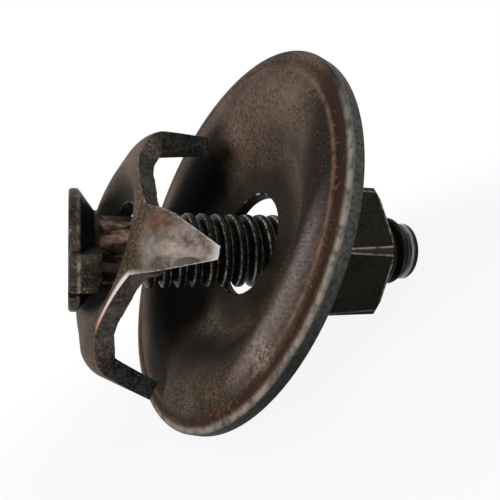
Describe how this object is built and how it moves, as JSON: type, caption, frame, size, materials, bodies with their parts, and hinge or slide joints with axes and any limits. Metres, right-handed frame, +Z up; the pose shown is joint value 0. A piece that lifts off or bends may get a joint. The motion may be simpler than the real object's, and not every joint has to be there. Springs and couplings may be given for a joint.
{
  "type": "bolted belt fastener",
  "caption": "Bolted belt fastener: a pronged claw plate and a dished saucer disc on a headed bolt, drawn together by a hex nut to clamp the ends of a flat belt.",
  "frame": {"origin": "middle of the outer edge of the nut flat that the fastener lies on, at floor level", "axes": "+Z up; +X along the floor from the bolt's head towards its free end; the bolt's axis lies in the XZ plane and rises towards the head"},
  "size_m": [0.0313, 0.0318, 0.0243],
  "materials": {
    "bolt": "blackened mild steel, glossy on the thread",
    "claw_plate": "blackened pressed sheet with charcoal sheared edges",
    "saucer_disc": "blackened pressed sheet, satin, with traces of rust",
    "hex_nut": "blackened steel with worn bright corners"
  },
  "bodies": {
    "bolt": {"bolt": "bolt"},
    "claw": {"claw_plate": "claw_plate"},
    "disc": {"saucer_disc": "saucer_disc"},
    "nut": {"hex_nut": "hex_nut"}
  },
  "joints": [
    {"name": "claw_slide", "type": "slide", "parent": "bolt", "child": "claw", "axis": [-0.8863, 0, 0.4632], "range_m": [-0.0005, 0.0003]},
    {"name": "disc_slide", "type": "slide", "parent": "bolt", "child": "disc", "axis": [-0.8863, 0, 0.4632], "range_m": [-0.0035, 0.0007]},
    {"name": "nut_spin", "type": "hinge", "parent": "disc", "child": "nut", "pos_m": [0.00257, 0, 0.00492], "axis": [-0.8863, 0, 0.4632], "range_deg": [-1000, 205]}
  ],
  "couplings": [
    {"joint": "nut_spin", "follows": "disc_slide", "rad_per_m": 4947.4}
  ]
}
